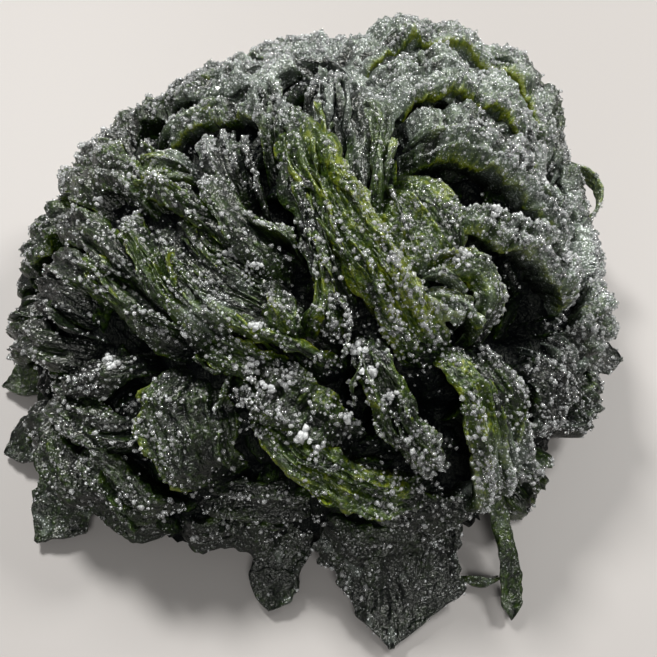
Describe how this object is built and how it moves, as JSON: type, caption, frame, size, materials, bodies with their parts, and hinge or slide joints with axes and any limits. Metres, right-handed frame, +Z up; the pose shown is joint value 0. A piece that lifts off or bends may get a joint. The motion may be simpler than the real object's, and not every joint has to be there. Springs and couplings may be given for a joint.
{
  "type": "salted wakame seaweed heap",
  "caption": "Loose heap of crinkled dark green wakame fronds crusted with coarse salt, flat underneath, with leaf tips that stick out at its foot.",
  "frame": {"origin": "on the flat underside, under the middle of the heap", "axes": "+Z up, -Y towards the viewer of the picture, +X to the viewer's right"},
  "size_m": [0.1665, 0.1708, 0.0686],
  "materials": {
    "wakame": "wet crinkled dark green leaf",
    "salt": "coarse frosted crystals"
  },
  "bodies": {
    "root": {"wakame": "wakame"}
  },
  "joints": []
}
